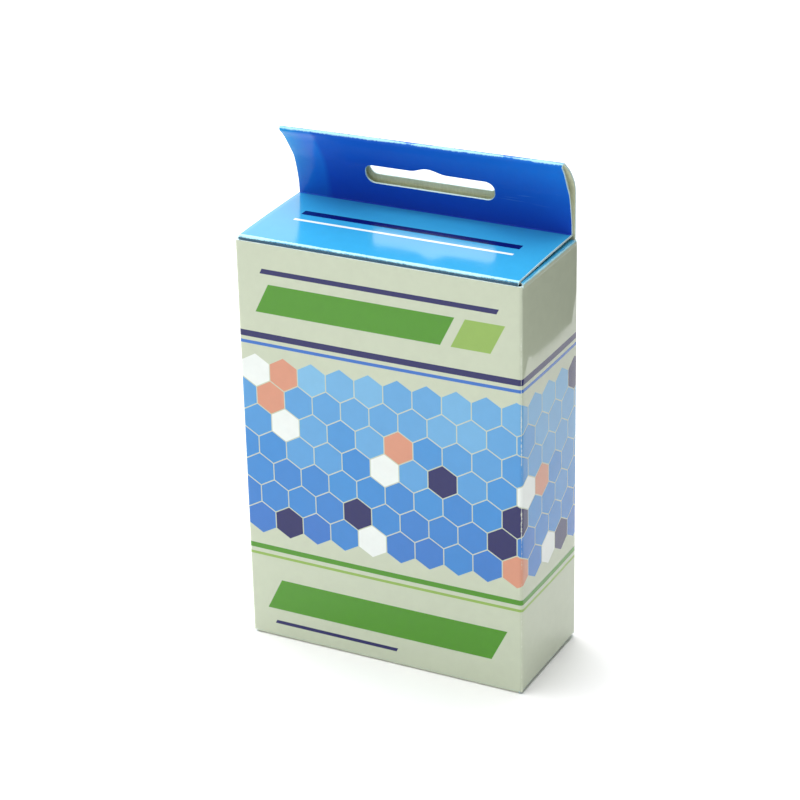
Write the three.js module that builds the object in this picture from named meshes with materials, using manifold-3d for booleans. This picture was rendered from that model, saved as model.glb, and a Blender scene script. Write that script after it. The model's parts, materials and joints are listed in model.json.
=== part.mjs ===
// A folding carton with a hang tab, closed as it stands on a shelf.
// The tab is the back panel carried on upwards, folded over at its top edge and brought down
// again in front of itself, where it turns forward into the lid.
// Millimetres, +Z up, the front faces -Y, the origin is at the middle of the base.

import * as THREE from 'three';
import { mergeVertices } from 'three/addons/utils/BufferGeometryUtils.js';
import Module from 'manifold-3d';

const wasm = await Module();
wasm.setup();

// The carton
const width = 70; // outside, left to right
const depth = 30; // outside, front to back
const height = 100; // base to the side folds at the top
const board = 0.5; // thickness of the board
const foldRadius = 0.8; // outside radius of every fold
const foldGap = 0.1; // between two panels that meet at a fold
const frontEdgeDrop = 0.2; // the front panel's cut edge lies this much under the side folds
const glueWidth = 11; // the strip that closes the sleeve inside the back panel

// The lid and its tuck flap
const lidInset = 0.9; // the lid and the front ply are this much narrower at each side
const lidSeat = 0.1; // between the dust flaps and the lid that lies on them
const lidRise = 0.7; // the lid's rear edge is higher than its front edge
const lidSetback = 0.2; // the lid's front fold lies this much behind the carton's face
const lidNoseAngle = 25; // the front fold ends this many degrees above level
const tuckLength = 12;
const tuckInset = 3.8; // from the carton's side to the tuck flap's edge
const tuckCorner = 8; // radius of the tuck flap's two free corners
const tuckLean = 17; // degrees, the flap leans into the carton

// The dust flaps under the lid
const dustLength = 24;
const dustRearMargin = 1.4; // from the carton's back to the flap's rear edge
const dustFrontMargin = 1.8; // from the carton's front to the flap's front corner at the fold
const dustTaper = 3.4; // the front edge slopes back by this much
const dustTaperRun = 12; // over this much of the flap's length
const dustRearTaper = 1.5; // the rear edge slopes in by this much at the free end

// The hang tab
const tabRise = 18.9; // side folds to the middle of the tab's top fold
const tabLean = 7.3; // the top fold stands this far in front of the back panel
const tabInset = 0.6; // the back ply is this much narrower than the carton at each side
const tabTwist = 1.15; // how much further forward the left end of the top fold is than the middle
const topFoldRadius = 0.4; // of the top fold, to the middle of the board
const footParting = 1; // between the two plies at the lid's fold, middle to middle
const backPlySlope = 32; // degrees above level, the back ply's run into the top fold
const frontPlySlope = 64; // degrees above level, the front ply's run out of the top fold
const slotLength = 32;
const slotHeight = 4.9;
const slotEndRadius = 2.2;
const slotHumpWidth = 9;
const slotHumpHeight = 1.3;
const slotFromFold = 11.2; // along each ply, from the top fold to the middle of the slot

// Both plies from the side, from the foot up. up is a share of tabRise. forward is a share of
// tabLean on the back ply, and on the front ply of what is left of tabLean past footParting.
const backPlyRows = [
  { up: 0.0, forward: 0.0 },
  { up: 0.3, forward: 0.01 },
  { up: 0.56, forward: 0.04 },
  { up: 0.67, forward: 0.11 },
  { up: 0.77, forward: 0.28 },
  { up: 0.87, forward: 0.5 },
  { up: 0.95, forward: 0.75 },
];
const frontPlyRows = [
  { up: 0.21, forward: 0.03 },
  { up: 0.34, forward: 0.1 },
  { up: 0.5, forward: 0.21 },
  { up: 0.59, forward: 0.3 },
  { up: 0.69, forward: 0.47 },
  { up: 0.81, forward: 0.68 },
  { up: 0.9, forward: 0.84 },
];

const halfWidth = width / 2;
const halfDepth = depth / 2;
const innerFold = foldRadius - board;
const arcSteps = 5; // segments in a fold's quarter round
const foldSteps = 8; // segments in the tab's top fold
const radians = THREE.MathUtils.degToRad;

// Places that several pieces share
const lidTopFront = height + lidSeat + board; // top face of the lid at its front fold
const lidFold = {
  y: halfDepth - board - footParting,
  z: lidTopFront + lidRise,
}; // the hollow corner where the front ply turns into the lid
const tuckFold = {
  y: -halfDepth + lidSetback + foldRadius,
  z: lidTopFront - foldRadius,
}; // the middle of the lid's front fold
const dustFold = {
  x: halfWidth - foldRadius - foldGap,
  z: height - board,
}; // the hollow corner under each dust flap's fold

// Materials: coated board, printed in sky blue and royal blue above and off-white below
const coated = (name, color, roughness) =>
  new THREE.MeshStandardMaterial({ name, color, roughness, metalness: 0 });
const panelWhite = () => coated('panel_white', 0xdfe3d2, 0.35);
const lidBlue = () => coated('lid_blue', 0x48b0f0, 0.3);
const tabBlue = () => coated('tab_blue', 0x1e50b0, 0.3);
const bareBoard = () => coated('bare_board', 0xc9cbb4, 0.8);

// Points of a round, from one angle to another in degrees
function round(centreU, centreV, radius, fromDegrees, toDegrees, steps = arcSteps) {
  const points = [];
  for (let i = 0; i <= steps; i += 1) {
    const angle = radians(fromDegrees + ((toDegrees - fromDegrees) * i) / steps);
    points.push(new THREE.Vector2(
      centreU + radius * Math.cos(angle),
      centreV + radius * Math.sin(angle),
    ));
  }
  return points;
}

// A closed solid whose outline lies level, in x and y, standing from z0 to z1
function upright(outline, z0, z1) {
  const geometry = new THREE.ExtrudeGeometry(new THREE.Shape(outline), {
    depth: z1 - z0,
    bevelEnabled: false,
  });
  return geometry.translate(0, 0, z0);
}

// A closed solid whose outline is a side view, in y and z, running from x0 to x1
function alongX(outline, x0, x1) {
  const geometry = new THREE.ExtrudeGeometry(new THREE.Shape(outline), {
    depth: x1 - x0,
    bevelEnabled: false,
  });
  const basis = new THREE.Matrix4().makeBasis(
    new THREE.Vector3(0, 1, 0),
    new THREE.Vector3(0, 0, 1),
    new THREE.Vector3(1, 0, 0),
  );
  return geometry.applyMatrix4(basis).translate(x0, 0, 0);
}

// A closed solid whose outline is a front view, in x and z, running from y0 to y1
function alongY(outline, y0, y1) {
  const geometry = new THREE.ExtrudeGeometry(new THREE.Shape(outline), {
    depth: y1 - y0,
    bevelEnabled: false,
  });
  return geometry.rotateX(Math.PI / 2).translate(0, y1, 0);
}

// The two faces of a strip of board that follows a line of points: its left and right sides
function ribbonSides(line) {
  const left = [];
  const right = [];
  line.forEach((point, i) => {
    const before = line[Math.max(i - 1, 0)];
    const after = line[Math.min(i + 1, line.length - 1)];
    const along = after.clone().sub(before).normalize();
    const across = new THREE.Vector2(-along.y, along.x).multiplyScalar(board / 2);
    left.push(point.clone().add(across));
    right.push(point.clone().sub(across));
  });
  return { left, right };
}

function toSolid(geometry) {
  const bare = geometry.clone();
  bare.deleteAttribute('normal');
  bare.deleteAttribute('uv');
  const merged = mergeVertices(bare, 1e-4);
  return new wasm.Manifold(new wasm.Mesh({
    numProp: 3,
    vertProperties: new Float32Array(merged.attributes.position.array),
    triVerts: new Uint32Array(merged.index.array),
  }));
}

function toGeometry(solid) {
  const { vertProperties, triVerts } = solid.getMesh();
  const geometry = new THREE.BufferGeometry();
  geometry.setAttribute('position', new THREE.BufferAttribute(vertProperties, 3));
  geometry.setIndex(new THREE.BufferAttribute(triVerts, 1));
  return geometry;
}

// The front panel, with the two upright folds that turn it into the sides
function frontPanel() {
  const left = -halfWidth + foldRadius;
  const right = halfWidth - foldRadius;
  const foldY = -halfDepth + foldRadius;
  const outline = [
    ...round(left, foldY, foldRadius, 180, 270),
    ...round(right, foldY, foldRadius, 270, 360),
    ...round(right, foldY, innerFold, 360, 270),
    ...round(left, foldY, innerFold, 270, 180),
  ];
  return upright(outline, 0, height - frontEdgeDrop);
}

// The back panel, with the fold to the right side. Its left edge is cut and glued down.
function backPanel() {
  const right = halfWidth - foldRadius;
  const foldY = halfDepth - foldRadius;
  const outline = [
    ...round(right, foldY, foldRadius, 0, 90),
    new THREE.Vector2(-halfWidth + foldGap, halfDepth),
    new THREE.Vector2(-halfWidth + foldGap, halfDepth - board),
    ...round(right, foldY, innerFold, 90, 0),
  ];
  return upright(outline, 0, height);
}

// A side panel from the front view: a wall that turns inwards at its top. side is -1 or 1.
function sidePanel(side, yBack) {
  const foldX = halfWidth - foldRadius;
  const foldZ = height - foldRadius;
  const outline = [
    new THREE.Vector2(halfWidth, 0),
    ...round(foldX, foldZ, foldRadius, 0, 90),
    ...round(foldX, foldZ, innerFold, 90, 0),
    new THREE.Vector2(halfWidth - board, 0),
  ].map((point) => new THREE.Vector2(side * point.x, point.y));
  return alongY(outline, -halfDepth + foldRadius + foldGap, yBack);
}

// The strip that the left side panel turns into, glued inside the back panel
const glueFace = halfDepth - board - foldGap; // the strip's outer face
function glueFlap() {
  const foldX = -halfWidth + foldRadius;
  const foldY = glueFace - foldRadius;
  const outline = [
    ...round(foldX, foldY, foldRadius, 180, 90),
    new THREE.Vector2(-halfWidth + glueWidth, glueFace),
    new THREE.Vector2(-halfWidth + glueWidth, glueFace - board),
    ...round(foldX, foldY, innerFold, 90, 180),
  ];
  return upright(outline, board + foldGap, height - foldRadius);
}

function bottomPanel() {
  const x = halfWidth - board - foldGap;
  const y = halfDepth - board - foldGap;
  const outline = [
    ...round(x - innerFold, y - innerFold, innerFold, 0, 90),
    ...round(-x + innerFold, y - innerFold, innerFold, 90, 180),
    ...round(-x + innerFold, -y + innerFold, innerFold, 180, 270),
    ...round(x - innerFold, -y + innerFold, innerFold, 270, 360),
  ];
  return upright(outline, 0, board);
}

// A dust flap lies level under the lid. Its front edge slopes back to clear the tuck flap.
function dustFlap(side) {
  const root = dustFold.x;
  const free = root - dustLength;
  const front = -halfDepth + dustFrontMargin;
  const rear = halfDepth - dustRearMargin;
  const outline = [
    new THREE.Vector2(side * root, front),
    new THREE.Vector2(side * (root - dustTaperRun), front + dustTaper),
    new THREE.Vector2(side * free, front + dustTaper),
    new THREE.Vector2(side * free, rear - dustRearTaper),
    new THREE.Vector2(side * root, rear),
  ];
  return upright(outline, dustFold.z, dustFold.z + board);
}

// The lid from the side: a plate that rises a little to the rear, with its front fold
function lidPanel() {
  const rear = lidFold.y - foldGap;
  const outline = [
    new THREE.Vector2(rear, lidFold.z),
    ...round(tuckFold.y, tuckFold.z, foldRadius, 90, 180 - lidNoseAngle),
    ...round(tuckFold.y, tuckFold.z, innerFold, 180 - lidNoseAngle, 90),
    new THREE.Vector2(rear, lidFold.z - board),
  ];
  return alongX(outline, -halfWidth + lidInset, halfWidth - lidInset);
}

// The tuck flap hangs from the middle of the lid's front fold, inside the front panel
function tuckFlap() {
  const half = halfWidth - tuckInset;
  const outline = [
    new THREE.Vector2(-half, 0),
    ...round(-half + tuckCorner, -tuckLength + tuckCorner, tuckCorner, 180, 270),
    ...round(half - tuckCorner, -tuckLength + tuckCorner, tuckCorner, 270, 360),
    new THREE.Vector2(half, 0),
  ];
  return alongY(outline, -board / 2, board / 2);
}

// A point of a ply in the side view, from how far up and forward it is
const plyPoint = (up, forward) =>
  new THREE.Vector2(halfDepth - board / 2 - forward, height + up);

// Middle lines of the two plies, from the foot to the top fold, in y and z
const topFold = { up: tabRise, forward: tabLean };
const lineSteps = 14;
function smooth(points) {
  return new THREE.SplineCurve(points).getPoints(lineSteps);
}

function backPlyLine() {
  const slope = radians(backPlySlope);
  const rows = backPlyRows.map((row) => plyPoint(row.up * tabRise, row.forward * tabLean));
  const end = plyPoint(
    topFold.up + topFoldRadius * Math.cos(slope),
    topFold.forward - topFoldRadius * Math.sin(slope),
  );
  return smooth([...rows, end]);
}

function frontPlyLine() {
  const slope = radians(frontPlySlope);
  const spare = tabLean - footParting;
  const foot = plyPoint(lidFold.z - height + foldGap, footParting);
  const rows = frontPlyRows.map((row) =>
    plyPoint(row.up * tabRise, footParting + row.forward * spare));
  const end = plyPoint(
    topFold.up - topFoldRadius * Math.cos(slope),
    topFold.forward + topFoldRadius * Math.sin(slope),
  );
  return smooth([foot, ...rows, end]);
}

// The round of the top fold, from the front ply over to the back ply, at a distance from its middle
const topFoldGap = THREE.MathUtils.radToDeg(foldGap / topFoldRadius);
function topFoldRound(radius, fromDegrees, toDegrees, steps) {
  const centre = plyPoint(topFold.up, topFold.forward);
  return round(centre.x, centre.y, radius, fromDegrees, toDegrees, steps);
}

// The hang slot, flat: a long rounded slot with a low hump towards the top fold
function slotOutline() {
  const half = slotLength / 2;
  const top = slotHeight / 2;
  const hump = [];
  const humpSteps = 10;
  for (let i = 0; i <= humpSteps; i += 1) {
    const share = i / humpSteps;
    const rise = (slotHumpHeight * (1 - Math.cos(2 * Math.PI * share))) / 2;
    hump.push(new THREE.Vector2(slotHumpWidth * (0.5 - share), top + rise));
  }
  return [
    ...round(half - slotEndRadius, top - slotEndRadius, slotEndRadius, 0, 90),
    ...hump,
    ...round(-half + slotEndRadius, top - slotEndRadius, slotEndRadius, 90, 180),
    ...round(-half + slotEndRadius, -top + slotEndRadius, slotEndRadius, 180, 270),
    ...round(half - slotEndRadius, -top + slotEndRadius, slotEndRadius, 270, 360),
  ];
}

// The slot as a solid that passes square through a ply at its distance from the top fold
function slotThrough(line) {
  const reach = 6 * board; // each way from the ply, past its bend
  let left = slotFromFold;
  let i = line.length - 1;
  while (i > 1 && line[i].distanceTo(line[i - 1]) < left) {
    left -= line[i].distanceTo(line[i - 1]);
    i -= 1;
  }
  const towardsFold = line[i].clone().sub(line[i - 1]).normalize();
  const centre = line[i].clone().addScaledVector(towardsFold, -left);
  const across = new THREE.Vector3(1, 0, 0);
  const up = new THREE.Vector3(0, towardsFold.x, towardsFold.y);
  const out = new THREE.Vector3().crossVectors(across, up);
  const geometry = new THREE.ExtrudeGeometry(new THREE.Shape(slotOutline()), {
    depth: 2 * reach,
    bevelEnabled: false,
  });
  const place = new THREE.Matrix4().makeBasis(across, up, out);
  place.setPosition(0, centre.x, centre.y);
  return geometry.translate(0, 0, -reach).applyMatrix4(place);
}

// The tab stands further forward at its left end: the shift grows from the foot to the top
function twisted(geometry) {
  const position = geometry.attributes.position;
  for (let i = 0; i < position.count; i += 1) {
    const rise = THREE.MathUtils.clamp((position.getZ(i) - lidFold.z) / tabRise, 0, 1);
    const shift = (tabTwist * rise * rise * position.getX(i)) / halfWidth;
    position.setY(i, position.getY(i) + shift);
  }
  return geometry;
}

function tabPly(line, outline, inset) {
  const sheet = alongX(outline, -halfWidth + inset, halfWidth - inset);
  const cut = toSolid(sheet).subtract(toSolid(slotThrough(line)));
  return twisted(toGeometry(cut));
}

function tabBackPly() {
  const line = backPlyLine();
  line[0].y += foldGap;
  const { left, right } = ribbonSides(line);
  const end = 90 - backPlySlope;
  const [inner] = topFoldRound(topFoldRadius - board / 2, end, end, 1);
  const [outer] = topFoldRound(topFoldRadius + board / 2, end, end, 1);
  const outline = [...left.slice(0, -1), inner, outer, ...right.slice(0, -1).reverse()];
  return tabPly(line, outline, tabInset);
}

function tabFrontPly() {
  const line = frontPlyLine();
  const { left, right } = ribbonSides(line);
  const start = 270 - frontPlySlope;
  const end = 90 - backPlySlope + topFoldGap;
  const outline = [
    ...left.slice(0, -1),
    ...topFoldRound(topFoldRadius + board / 2, start, end, foldSteps),
    ...topFoldRound(topFoldRadius - board / 2, end, start, foldSteps),
    ...right.slice(0, -1).reverse(),
  ];
  return tabPly(line, outline, lidInset);
}

const carton = new THREE.Group();

function add(name, geometry, material, parent = carton) {
  const mesh = new THREE.Mesh(geometry, material);
  mesh.name = name;
  parent.add(mesh);
  return mesh;
}

add('front_panel', frontPanel(), panelWhite());
add('right_side_panel', sidePanel(1, halfDepth - foldRadius - foldGap), panelWhite());
add('left_side_panel', sidePanel(-1, glueFace - foldRadius - foldGap), panelWhite());
add('back_panel', backPanel(), panelWhite());
add('glue_flap', glueFlap(), bareBoard());
add('bottom_panel', bottomPanel(), panelWhite());
add('right_dust_flap', dustFlap(1), lidBlue());
add('left_dust_flap', dustFlap(-1), lidBlue());
add('tab_back_ply', tabBackPly(), tabBlue());
add('tab_front_ply', tabFrontPly(), tabBlue());
add('lid_panel', lidPanel(), lidBlue());

const tuck = add('tuck_flap', tuckFlap(), lidBlue());
tuck.position.set(0, tuckFold.y, tuckFold.z);
tuck.rotation.x = radians(tuckLean);

export default carton;
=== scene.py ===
import json
import math

import bpy
import numpy as np
from mathutils import Matrix, Vector
from mathutils.geometry import delaunay_2d_cdt


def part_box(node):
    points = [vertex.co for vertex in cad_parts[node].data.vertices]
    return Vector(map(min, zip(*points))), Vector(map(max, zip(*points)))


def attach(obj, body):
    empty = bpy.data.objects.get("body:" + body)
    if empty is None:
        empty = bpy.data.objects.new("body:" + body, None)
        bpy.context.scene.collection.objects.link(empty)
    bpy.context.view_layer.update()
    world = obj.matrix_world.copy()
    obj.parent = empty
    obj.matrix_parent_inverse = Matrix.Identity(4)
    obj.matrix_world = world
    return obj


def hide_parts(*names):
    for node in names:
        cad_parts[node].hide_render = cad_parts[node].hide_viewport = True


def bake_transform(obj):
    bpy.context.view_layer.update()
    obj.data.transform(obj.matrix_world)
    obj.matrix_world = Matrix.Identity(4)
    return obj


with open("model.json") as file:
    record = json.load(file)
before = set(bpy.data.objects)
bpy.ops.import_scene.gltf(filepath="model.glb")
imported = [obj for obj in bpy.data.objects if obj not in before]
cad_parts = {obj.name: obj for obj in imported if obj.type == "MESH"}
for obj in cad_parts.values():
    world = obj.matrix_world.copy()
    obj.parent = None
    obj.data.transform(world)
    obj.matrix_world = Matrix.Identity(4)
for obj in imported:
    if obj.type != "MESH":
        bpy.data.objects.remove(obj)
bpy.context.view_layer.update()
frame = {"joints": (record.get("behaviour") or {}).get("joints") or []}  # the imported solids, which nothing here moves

# A folding carton with a hang tab, dressed as the printed and varnished board it is made of.
# Metres, +Z up, the front faces -Y, the origin is at the middle of the base.

mm = 0.001

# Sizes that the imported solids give
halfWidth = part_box("front_panel")[1].x
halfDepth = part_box("back_panel")[1].y
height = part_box("back_panel")[1].z
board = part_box("bottom_panel")[1].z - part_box("bottom_panel")[0].z
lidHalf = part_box("lid_panel")[1].x
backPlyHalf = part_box("tab_back_ply")[1].x
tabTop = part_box("tab_front_ply")[1].z
hinge = {joint["name"]: Vector(joint["pos_m"]) for joint in frame["joints"]}

fold = {
    "radius": 0.8 * mm,  # outside radius of every fold
    "steps": 8,  # segments in a quarter round
    "bevel": 0.05 * mm,  # softens the cut edges of the board
}
midRadius = fold["radius"] - board / 2  # of a fold, to the middle of the board
foldLoss = 2 * fold["radius"] - math.pi / 2 * midRadius  # each panel of the blank is this much shorter
frontRun = 2 * halfWidth - foldLoss
sideRun = 2 * halfDepth - foldLoss


def report(stage):
    print(f"carton: {stage}")


# Small helpers for paths. A path is a list of points along the middle of the board.

def arcPoints(centre, radius, fromDegrees, toDegrees, steps=None):
    steps = steps or fold["steps"]
    angles = np.radians(np.linspace(fromDegrees, toDegrees, steps + 1))
    return [(centre[0] + radius * math.cos(a), centre[1] + radius * math.sin(a)) for a in angles]


def straight(start, end, spacing):
    a, b = np.array(start, float), np.array(end, float)
    count = max(1, round(float(np.linalg.norm(b - a)) / spacing))
    return [tuple(a + (b - a) * i / count) for i in range(count + 1)]


def joined(*parts):
    # One path out of several, and how far along it each part ends
    path, ends, length = [], [], 0.0
    for part in parts:
        for point in part:
            if path:
                step = math.dist(path[-1], point)
                if step < 1e-7:
                    continue
                length += step
            path.append(point)
        ends.append(length)
    return path, ends


def alongPath(path):
    steps = [math.dist(a, b) for a, b in zip(path, path[1:])]
    return np.concatenate([[0.0], np.cumsum(steps)])


def throughPoints(points, steps):
    # A smooth line through the points
    ends = [points[0], *points, points[-1]]
    line = []
    for i in range(steps + 1):
        at = i / steps * (len(points) - 1)
        k = min(int(at), len(points) - 2)
        t = at - k
        p0, p1, p2, p3 = (np.array(ends[k + j], float) for j in range(4))
        v1, v2 = (p2 - p0) / 2, (p3 - p1) / 2
        line.append(tuple(
            (2 * p1 - 2 * p2 + v1 + v2) * t ** 3
            + (-3 * p1 + 3 * p2 - 2 * v1 - v2) * t ** 2
            + v1 * t + p1
        ))
    return line


# Small helpers for objects

def addObject(name, mesh):
    obj = bpy.data.objects.new(name, mesh)
    bpy.context.scene.collection.objects.link(obj)
    return obj


def settle(obj):
    # Turns what the modifiers make into the object's plain mesh
    seen = bpy.context.evaluated_depsgraph_get()
    mesh = bpy.data.meshes.new_from_object(
        obj.evaluated_get(seen), preserve_all_data_layers=True, depsgraph=seen)
    obj.modifiers.clear()
    obj.data = mesh
    mesh.name = obj.name
    return obj


def readValues(mesh, name):
    values = np.zeros(len(mesh.vertices), np.float32)
    mesh.attributes[name].data.foreach_get("value", values)
    return values.astype(float)


def readPoints(mesh):
    points = np.zeros(len(mesh.vertices) * 3, np.float32)
    mesh.vertices.foreach_get("co", points)
    return points.reshape(-1, 3).astype(float)


def writePoints(mesh, points):
    mesh.vertices.foreach_set("co", np.asarray(points, np.float32).ravel())
    mesh.update()


def storeVector(mesh, name, *columns):
    # Keeps up to three values at each point, for the materials to read
    values = np.zeros((len(mesh.vertices), 3), np.float32)
    for i, column in enumerate(columns):
        values[:, i] = column
    layer = mesh.attributes.get(name) or mesh.attributes.new(name, "FLOAT_VECTOR", "POINT")
    layer.data.foreach_set("vector", values.ravel())


# Node helpers, and the Geometry Nodes trees: a folded sheet and crease beads

def addNode(tree, kind, **settings):
    node = tree.nodes.new(kind)
    for key, value in settings.items():
        setattr(node, key, value)
    return node


def linkOrSet(tree, socket, value):
    if isinstance(value, bpy.types.NodeSocket):
        tree.links.new(value, socket)
    else:
        socket.default_value = value


def calc(tree, operation, *values, clamp=False):
    node = addNode(tree, "ShaderNodeMath", operation=operation, use_clamp=clamp)
    for socket, value in zip(node.inputs, values):
        linkOrSet(tree, socket, value)
    return node.outputs[0]


def vectorCalc(tree, operation, *values):
    node = addNode(tree, "ShaderNodeVectorMath", operation=operation)
    for socket, value in zip(node.inputs, values):
        linkOrSet(tree, socket, value)
    return node.outputs["Value"] if operation == "LENGTH" else node.outputs["Vector"]


def newMeshTree(name, inputs):
    # A mesh goes in and comes out. inputs: name and socket type of the rest
    tree = bpy.data.node_groups.new(name, "GeometryNodeTree")
    face = tree.interface
    face.new_socket(name="Geometry", in_out="OUTPUT", socket_type="NodeSocketGeometry")
    for label, kind in {"Geometry": "Geometry", **inputs, "Material": "Material"}.items():
        face.new_socket(name=label, in_out="INPUT", socket_type="NodeSocket" + kind)
    return tree, addNode(tree, "NodeGroupInput").outputs


def endMeshTree(tree, mesh, material):
    # Real faces with their material, as the export needs them
    real = addNode(tree, "GeometryNodeRealizeInstances")
    tree.links.new(mesh, real.inputs[0])
    paint = addNode(tree, "GeometryNodeSetMaterial")
    tree.links.new(real.outputs[0], paint.inputs["Geometry"])
    tree.links.new(material, paint.inputs["Material"])
    result = addNode(tree, "NodeGroupOutput")
    tree.links.new(paint.outputs[0], result.inputs[0])
    return tree


def foldedSheetTree():
    # In: a line of points with the attribute "along". Out: the sheet, a column for each point.
    tree, given = newMeshTree("foldedSheet", {"Sweep": "Vector", "Rows": "Int"})
    link = tree.links.new
    size = addNode(tree, "GeometryNodeAttributeDomainSize", component="MESH")
    link(given["Geometry"], size.inputs["Geometry"])
    grid = addNode(tree, "GeometryNodeMeshGrid")
    grid.inputs["Size X"].default_value = 1.0
    grid.inputs["Size Y"].default_value = 1.0
    link(size.outputs["Point Count"], grid.inputs["Vertices X"])
    link(given["Rows"], grid.inputs["Vertices Y"])

    # The grid is one metre each way, about its middle: X gives the column and Y the row
    place = addNode(tree, "GeometryNodeInputPosition").outputs[0]
    parts = addNode(tree, "ShaderNodeSeparateXYZ")
    link(place, parts.inputs[0])
    last = calc(tree, "SUBTRACT", size.outputs["Point Count"], 1.0)
    column = calc(tree, "MULTIPLY", calc(tree, "ADD", parts.outputs["X"], 0.5), last)
    row = calc(tree, "ADD", parts.outputs["Y"], 0.5)
    index = addNode(tree, "FunctionNodeFloatToInt", rounding_mode="ROUND")
    link(column, index.inputs[0])

    # What the sheet takes from the line is read before its points move
    along = addNode(tree, "GeometryNodeInputNamedAttribute", data_type="FLOAT")
    along.inputs["Name"].default_value = "along"
    taken = []
    for kind, value in (("FLOAT", along.outputs[0]), ("FLOAT_VECTOR", place)):
        sample = addNode(tree, "GeometryNodeSampleIndex", data_type=kind, domain="POINT")
        link(given["Geometry"], sample.inputs["Geometry"])
        link(value, sample.inputs["Value"])
        link(index.outputs[0], sample.inputs["Index"])
        taken.append(sample.outputs[0])
    sheet = grid.outputs["Mesh"]
    for name, value in (("along", taken[0]), ("share", row)):
        store = addNode(tree, "GeometryNodeStoreNamedAttribute", data_type="FLOAT", domain="POINT")
        link(sheet, store.inputs["Geometry"])
        store.inputs["Name"].default_value = name
        link(value, store.inputs["Value"])
        sheet = store.outputs["Geometry"]

    reach = addNode(tree, "ShaderNodeVectorMath", operation="SCALE")
    link(given["Sweep"], reach.inputs[0])
    link(row, reach.inputs["Scale"])
    move = addNode(tree, "GeometryNodeSetPosition")
    link(sheet, move.inputs["Geometry"])
    link(vectorCalc(tree, "ADD", taken[1], reach.outputs[0]), move.inputs["Position"])
    return endMeshTree(tree, move.outputs[0], given["Material"])


def creaseBeadTree():
    # In: points. Out: an upright bead of raised board at each of them.
    tree, given = newMeshTree("creaseBead", {"Length": "Float", "Radius": "Float", "Sides": "Int"})
    link = tree.links.new
    end = addNode(tree, "ShaderNodeCombineXYZ")
    link(given["Length"], end.inputs["Z"])
    line = addNode(tree, "GeometryNodeCurvePrimitiveLine")
    link(end.outputs[0], line.inputs["End"])
    circle = addNode(tree, "GeometryNodeCurvePrimitiveCircle")
    link(given["Sides"], circle.inputs["Resolution"])
    link(given["Radius"], circle.inputs["Radius"])
    bead = addNode(tree, "GeometryNodeCurveToMesh")
    link(line.outputs[0], bead.inputs["Curve"])
    link(circle.outputs[0], bead.inputs["Profile Curve"])
    bead.inputs["Fill Caps"].default_value = True
    spread = addNode(tree, "GeometryNodeInstanceOnPoints")
    link(given["Geometry"], spread.inputs["Points"])
    link(bead.outputs[0], spread.inputs["Instance"])
    return endMeshTree(tree, spread.outputs[0], given["Material"])


def runTree(obj, tree, values):
    # Gives the object what the tree makes of it with these inputs
    modifier = obj.modifiers.new(tree.name, "NODES")
    modifier.node_group = tree
    for item in tree.interface.items_tree:
        if item.in_out == "INPUT" and item.name in values:
            modifier[item.identifier] = values[item.name]
    return settle(obj)


sheetTree = foldedSheetTree()
beadTree = creaseBeadTree()


def foldSheet(name, path, sweep, rows, material):
    line = bpy.data.meshes.new(name)
    line.from_pydata([list(p) for p in path], [(i, i + 1) for i in range(len(path) - 1)], [])
    line.attributes.new("along", "FLOAT", "POINT").data.foreach_set(
        "value", alongPath(path).astype(np.float32))
    obj = addObject(name, line)
    return runTree(obj, sheetTree, {"Sweep": sweep, "Rows": rows, "Material": material})


def giveThickness(obj, materials, second=None):
    # From a sheet in the middle of the board to printed face, inner face and cut edge.
    # second: which faces have the second print, the last of the materials
    slots = materials if second is None else [*materials, *materials[1:3]]
    obj.data.materials.clear()
    for material in slots:
        obj.data.materials.append(material)
    if second is not None:
        obj.data.polygons.foreach_set("material_index", np.where(second, 3, 0).astype(np.int32))
    wall = obj.modifiers.new("board", "SOLIDIFY")
    wall.thickness = board
    wall.offset = 0
    wall.use_even_offset = True
    wall.material_offset = 1
    wall.material_offset_rim = 2
    soft = obj.modifiers.new("softEdge", "BEVEL")
    soft.width = fold["bevel"]
    soft.segments = 2
    soft.limit_method = "ANGLE"
    soft.angle_limit = math.radians(50)
    settle(obj)
    if second is not None:
        # The second print's inner faces and cut edges go back to the slots that they share
        index = np.zeros(len(obj.data.polygons), np.int32)
        obj.data.polygons.foreach_get("material_index", index)
        index[index > 3] -= 3
        obj.data.polygons.foreach_set("material_index", index)
        obj.data.materials.pop()
        obj.data.materials.pop()
    obj.data.shade_smooth()
    obj.data.set_sharp_from_angle(angle=math.radians(40))
    return obj


def mergeInto(obj, others):
    # Joins the other sheets' meshes to this one
    with bpy.context.temp_override(
            active_object=obj, object=obj, selected_objects=[obj, *others],
            selected_editable_objects=[obj, *others]):
        bpy.ops.object.join()
    return obj


# Colours, as they are printed, with painted light and shade among them

def colour(red, green, blue):
    # From the 0 to 255 of a screen to the linear values that a shader takes
    def linear(value):
        value /= 255
        return value / 12.92 if value <= 0.04045 else ((value + 0.055) / 1.055) ** 2.4
    return (linear(red), linear(green), linear(blue), 1.0)


ink = {  # as printed, before the gloss, with painted light and shade where marked
    "ground": colour(195, 204, 180),
    "sky": colour(54, 159, 208),
    "royal": colour(24, 64, 184),
    # painted light on the tab: the lighter blue where light falls on it
    "tabPaintedLight": colour(26, 126, 222),
    # painted reflection on the tab: the pale blue at its top left corner
    "tabPaintedReflection": colour(14, 164, 220),
    # painted shade: the dark teal of the shadowed gap under the lid's front fold
    "crease": colour(12, 74, 104),
    "navy": colour(6, 8, 88),
    "mid": colour(48, 108, 192),
    "field": colour(52, 138, 208),
    "pale": colour(122, 184, 222),
    "white": colour(232, 238, 234),
    "green": colour(70, 142, 4),
    "leaf": colour(142, 178, 82),
    "peach": colour(212, 146, 118),
    # pale cyan at the blue folds: partly cracked ink, partly a painted highlight on the folds
    "wornAndHighlight": colour(168, 224, 236),
    "rubbed": colour(222, 228, 212),
}


# Helpers for shader trees

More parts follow.
